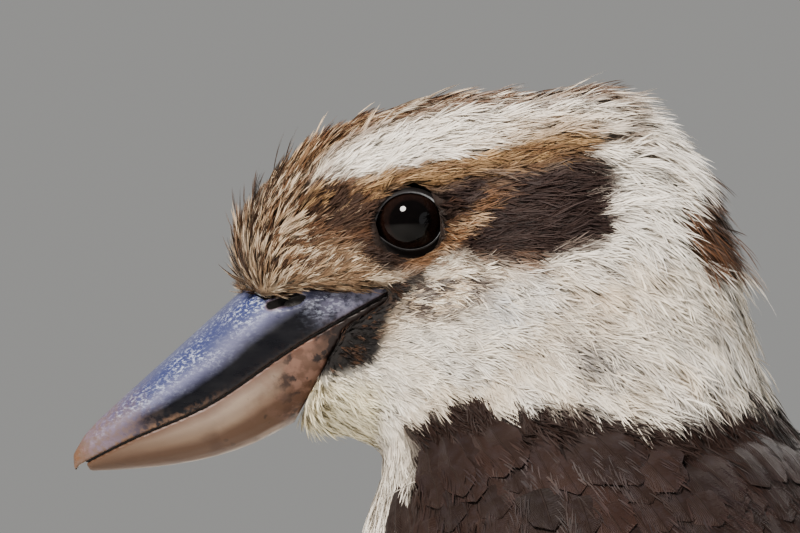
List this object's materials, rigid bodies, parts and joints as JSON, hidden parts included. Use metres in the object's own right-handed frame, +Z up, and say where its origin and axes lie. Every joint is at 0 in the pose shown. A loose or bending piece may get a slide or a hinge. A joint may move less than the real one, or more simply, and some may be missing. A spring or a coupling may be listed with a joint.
{
  "type": "laughing kookaburra",
  "caption": "Life-size still laughing kookaburra standing on both feet, head drawn in and bill lowered, with folded wings and a long barred tail.",
  "frame": {"origin": "on the floor under the middle of the bird's overall box", "axes": "+Z up, +X from the bill back towards the tail, -Y towards the bird's left side; the body is turned 14 degrees from the head"},
  "size_m": [0.3904, 0.1464, 0.2757],
  "materials": {
    "horn_upper": "worn slate-blue horn",
    "horn_lower": "worn pinkish horn with brown stains",
    "eye": "wet dark brown eye",
    "head_feathers": "fine white feathers with a brown mask and streaked crown",
    "white_feathers": "soft off-white feathers",
    "wing_feathers": "dark brown feathers with pale blue tips on the coverts",
    "tail_feathers": "rufous feathers with black bars and white tips",
    "foot_skin": "scaly grey-green skin",
    "claw": "dark horn"
  },
  "bodies": {
    "root": {"head": "head_feathers", "bill_upper": "horn_upper", "bill_lower": "horn_lower", "eye_left": "eye", "eye_right": "eye", "neck": "white_feathers", "torso": "white_feathers", "tail": "tail_feathers", "wing_left": "wing_feathers", "wing_right": "wing_feathers", "thigh_left": "white_feathers", "thigh_right": "white_feathers", "tarsus_left": "foot_skin", "tarsus_right": "foot_skin", "foot_left": "foot_skin", "foot_right": "foot_skin", "claw_left_inner": "claw", "claw_left_middle": "claw", "claw_left_outer": "claw", "claw_left_hind": "claw", "claw_right_inner": "claw", "claw_right_middle": "claw", "claw_right_outer": "claw", "claw_right_hind": "claw"}
  },
  "joints": []
}
